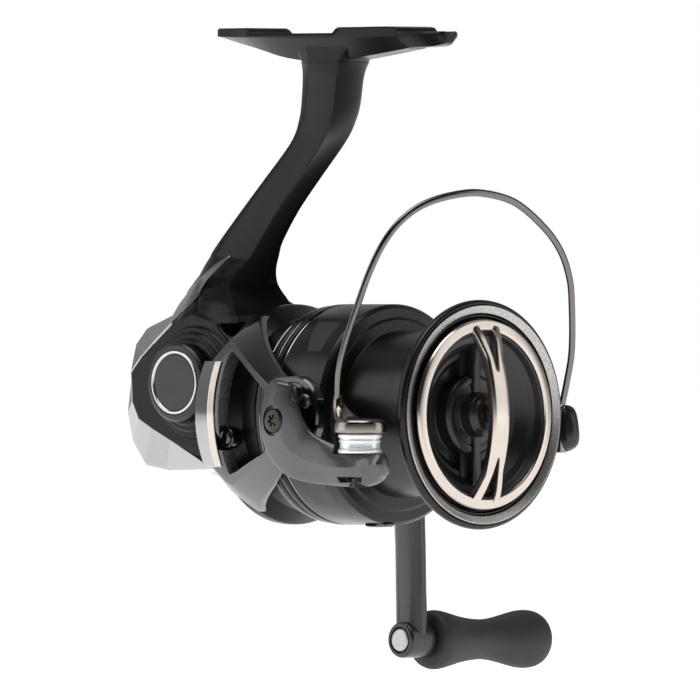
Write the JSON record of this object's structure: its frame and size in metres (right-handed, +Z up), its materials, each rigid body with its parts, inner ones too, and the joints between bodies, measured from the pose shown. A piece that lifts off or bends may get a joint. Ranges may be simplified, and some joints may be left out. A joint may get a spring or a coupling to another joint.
{
  "type": "spinning fishing reel",
  "caption": "Spinning reel with stem and foot, geared crank handle, two-armed rotor with swinging bail and line roller, empty stroking spool and front drag knob.",
  "frame": {"origin": "middle of the foot's flat top face, where the rod's reel seat lies on it", "axes": "+X forward along the spool axis, +Y to the handle side, +Z up to the rod"},
  "size_m": [0.1023, 0.1249, 0.135],
  "materials": {
    "slate": "semi-gloss",
    "matte_black": "matte",
    "gloss_black": "gloss",
    "graphite": "satin flake",
    "gunmetal": "polished",
    "champagne": "polished",
    "bronze": "polished",
    "steel": "satin",
    "brass": "satin",
    "zinc": "cast",
    "felt": "matte",
    "rubber": "matte",
    "handle_metal": "satin"
  },
  "bodies": {
    "frame": {"body_frame": "slate", "side_cover": "slate", "rear_guard": "gunmetal", "cover_screw_1": "gloss_black", "cover_screw_2": "gloss_black", "cover_screw_3": "gloss_black", "shaft_cap": "matte_black", "cap_ring": "steel", "drive_bearing_right": "steel", "drive_bearing_left": "steel", "pinion_bearing": "steel", "anti_reverse_clutch": "zinc", "guide_rod": "steel"},
    "crank": {"drive_gear": "brass", "handle_shank": "steel", "handle_collar": "matte_black", "handle_arm": "handle_metal", "knob_pin": "steel", "knob_pin_cap": "gunmetal"},
    "knob": {"handle_knob": "rubber", "knob_end_cap": "rubber"},
    "rotor_group": {"pinion_gear": "brass", "rotor": "graphite", "rotor_nut": "steel", "clutch_sleeve": "steel", "rotor_trim_near": "champagne", "rotor_trim_far": "champagne", "bail_pivot_screw": "gloss_black", "bail_holder_screw": "gloss_black"},
    "bail": {"bail_arm": "graphite", "bail_wire": "bronze", "bail_holder": "matte_black", "roller_screw": "steel", "roller_bushing": "felt"},
    "roller": {"line_roller": "steel"},
    "spool_shaft": {"main_shaft": "steel", "slider_block": "zinc", "worm_pawl": "brass"},
    "spool_group": {"spool": "matte_black", "spool_lip_ring": "steel", "line_clip": "gunmetal", "drag_felt_washer_1": "felt", "drag_metal_washer_1": "steel", "drag_felt_washer_2": "felt", "drag_metal_washer_2": "steel", "drag_felt_washer_3": "felt", "drag_retainer": "steel"},
    "drag": {"drag_knob": "matte_black", "drag_knob_ring": "champagne", "drag_nut": "brass"},
    "worm": {"worm_shaft": "steel", "worm_gear": "zinc"}
  },
  "joints": [
    {"name": "crank_turn", "type": "hinge", "parent": "frame", "child": "crank", "pos_m": [-0.0287, 0, -0.0743], "axis": [0, 1, 0], "continuous": true},
    {"name": "knob_spin", "type": "hinge", "parent": "crank", "child": "knob", "pos_m": [-0.0287, 0.0514, -0.1287], "axis": [0, 1, 0], "continuous": true},
    {"name": "rotor_turn", "type": "hinge", "parent": "frame", "child": "rotor_group", "pos_m": [-0.0087, 0, -0.081], "axis": [1, 0, 0], "continuous": true},
    {"name": "worm_turn", "type": "hinge", "parent": "frame", "child": "worm", "pos_m": [-0.0287, 0.0066, -0.08343], "axis": [1, 0, 0], "continuous": true},
    {"name": "bail_open", "type": "hinge", "parent": "rotor_group", "child": "bail", "pos_m": [0.0137, 0, -0.0822], "axis": [0, 1, 0], "range_deg": [0, 110]},
    {"name": "roller_spin", "type": "hinge", "parent": "bail", "child": "roller", "pos_m": [0.0348, -0.029, -0.0869], "axis": [0, 0, 1], "continuous": true},
    {"name": "spool_stroke", "type": "slide", "parent": "frame", "child": "spool_shaft", "axis": [1, 0, 0], "range_m": [-0.0045, 0.013]},
    {"name": "spool_slip", "type": "hinge", "parent": "spool_shaft", "child": "spool_group", "pos_m": [0.0263, 0, -0.081], "axis": [1, 0, 0], "continuous": true},
    {"name": "drag_knob_turn", "type": "hinge", "parent": "spool_shaft", "child": "drag", "pos_m": [0.0413, 0, -0.081], "axis": [1, 0, 0], "range_deg": [-720, 360]}
  ],
  "couplings": [
    {"joint": "rotor_turn", "follows": "crank_turn", "ratio": 5},
    {"joint": "worm_turn", "follows": "crank_turn", "ratio": -4}
  ]
}
